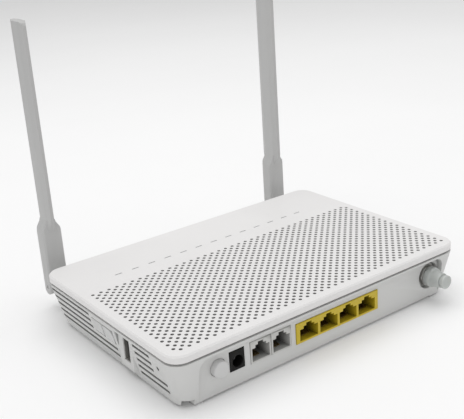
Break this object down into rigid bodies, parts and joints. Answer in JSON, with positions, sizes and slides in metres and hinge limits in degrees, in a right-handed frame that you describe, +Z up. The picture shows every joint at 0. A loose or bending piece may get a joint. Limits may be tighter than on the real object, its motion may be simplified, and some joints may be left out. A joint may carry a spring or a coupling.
{
  "type": "optical network terminal",
  "caption": "Flat desktop fibre gateway with a perforated top, a wall of network, telephone and television sockets, push buttons and folding antennas.",
  "frame": {"origin": "centre of the case's footprint, on the plane that its feet stand on", "axes": "+X to the right along the port wall, +Y from the port wall to the antennas, +Z up"},
  "size_m": [0.1984, 0.169, 0.173],
  "materials": {
    "cover_white": "fine satin texture",
    "case_grey": "fine spark-eroded texture",
    "button_grey": "satin",
    "antenna_grey": "fine texture",
    "clear_guide": "milky clear",
    "foot_rubber": "matt",
    "label_paper": "blank film",
    "screw_steel": "plated",
    "board_green": "solder mask",
    "led_lens": "clear resin",
    "switch_plastic": "smooth",
    "jack_black": "smooth",
    "jack_light": "smooth",
    "jack_yellow": "smooth",
    "gold_contact": "gold plated",
    "contact_metal": "plated",
    "nickel": "nickel plated",
    "cap_soft": "translucent soft plastic",
    "shield_tin": "tinned",
    "chip_black": "moulded resin",
    "heat_sink_metal": "extruded",
    "inductor_grey": "ferrite",
    "capacitor_sleeve": "sleeve",
    "radiator_copper": "copper",
    "lead_black": "smooth",
    "adapter_green": "smooth",
    "plug_ivory": "smooth"
  },
  "bodies": {
    "case": {"top_cover": "cover_white", "base_case": "case_grey", "light_guide": "clear_guide", "rubber_feet": "foot_rubber", "case_screws": "screw_steel", "rating_label": "label_paper", "main_board": "board_green", "board_screws": "screw_steel", "status_leds": "led_lens", "power_switch": "switch_plastic", "dc_jack": "jack_black", "dc_jack_pin": "contact_metal", "tel_jack_1": "jack_light", "tel_jack_2": "jack_light", "tel_contacts": "gold_contact", "lan_jack_block": "jack_yellow", "lan_contacts": "gold_contact", "tv_connector": "nickel", "tv_center_contact": "gold_contact", "tv_nut": "nickel", "tv_washer": "nickel", "tv_receiver_can": "shield_tin", "usb_shell": "nickel", "usb_tongue": "jack_black", "side_switch_bodies": "jack_black", "reset_switch": "jack_black", "antenna_pigtails": "lead_black", "pigtail_plugs": "gold_contact", "optical_adapter": "adapter_green", "optical_transceiver": "shield_tin", "main_processor": "chip_black", "heat_sink": "heat_sink_metal", "memory_chips": "chip_black", "wifi_shield": "shield_tin", "lan_transformers": "chip_black", "phone_line_chips": "chip_black", "power_inductors": "inductor_grey", "capacitors": "capacitor_sleeve"},
    "power_key": {"power_button": "button_grey"},
    "wlan_key": {"wlan_button": "button_grey", "wlan_plunger": "switch_plastic"},
    "wps_key": {"wps_button": "button_grey", "wps_plunger": "switch_plastic"},
    "reset_key": {"reset_plunger": "switch_plastic"},
    "tv_cap": {"tv_dust_cap": "cap_soft"},
    "optical_plug": {"optical_dust_plug": "plug_ivory"},
    "left_swivel_hub": {"left_hub": "antenna_grey"},
    "right_swivel_hub": {"right_hub": "antenna_grey"},
    "left_arm": {"left_antenna": "antenna_grey", "left_hinge_pin": "antenna_grey", "left_radiator": "radiator_copper"},
    "right_arm": {"right_antenna": "antenna_grey", "right_hinge_pin": "antenna_grey", "right_radiator": "radiator_copper"}
  },
  "joints": [
    {"name": "power_press", "type": "slide", "parent": "case", "child": "power_key", "axis": [0, 1, 0], "range_m": [0, 0.0025], "stiffness_N_per_m": 300, "springref_m": -0.0005},
    {"name": "wlan_press", "type": "slide", "parent": "case", "child": "wlan_key", "axis": [1, 0, 0], "range_m": [0, 0.0008], "stiffness_N_per_m": 600, "springref_m": -0.0003},
    {"name": "wps_press", "type": "slide", "parent": "case", "child": "wps_key", "axis": [1, 0, 0], "range_m": [0, 0.0008], "stiffness_N_per_m": 600, "springref_m": -0.0003},
    {"name": "reset_press", "type": "slide", "parent": "case", "child": "reset_key", "axis": [1, 0, 0], "range_m": [0, 0.0003], "stiffness_N_per_m": 800, "springref_m": -0.0002},
    {"name": "tv_cap_pull", "type": "slide", "parent": "case", "child": "tv_cap", "axis": [0, -1, 0], "range_m": [0, 0.02]},
    {"name": "optical_plug_pull", "type": "slide", "parent": "case", "child": "optical_plug", "axis": [0, -1, 0], "range_m": [0, 0.014]},
    {"name": "left_swivel", "type": "hinge", "parent": "case", "child": "left_swivel_hub", "pos_m": [-0.0857, 0.07, 0.0145], "axis": [0, 1, 0], "range_deg": [-90, 30]},
    {"name": "right_swivel", "type": "hinge", "parent": "case", "child": "right_swivel_hub", "pos_m": [0.0857, 0.07, 0.0145], "axis": [0, 1, 0], "range_deg": [-30, 90]},
    {"name": "left_tilt", "type": "hinge", "parent": "left_swivel_hub", "child": "left_arm", "pos_m": [-0.0857, 0.0836, 0.0145], "axis": [-1, 0, 0], "range_deg": [0, 90]},
    {"name": "right_tilt", "type": "hinge", "parent": "right_swivel_hub", "child": "right_arm", "pos_m": [0.0857, 0.0836, 0.0145], "axis": [-1, 0, 0], "range_deg": [0, 90]}
  ]
}
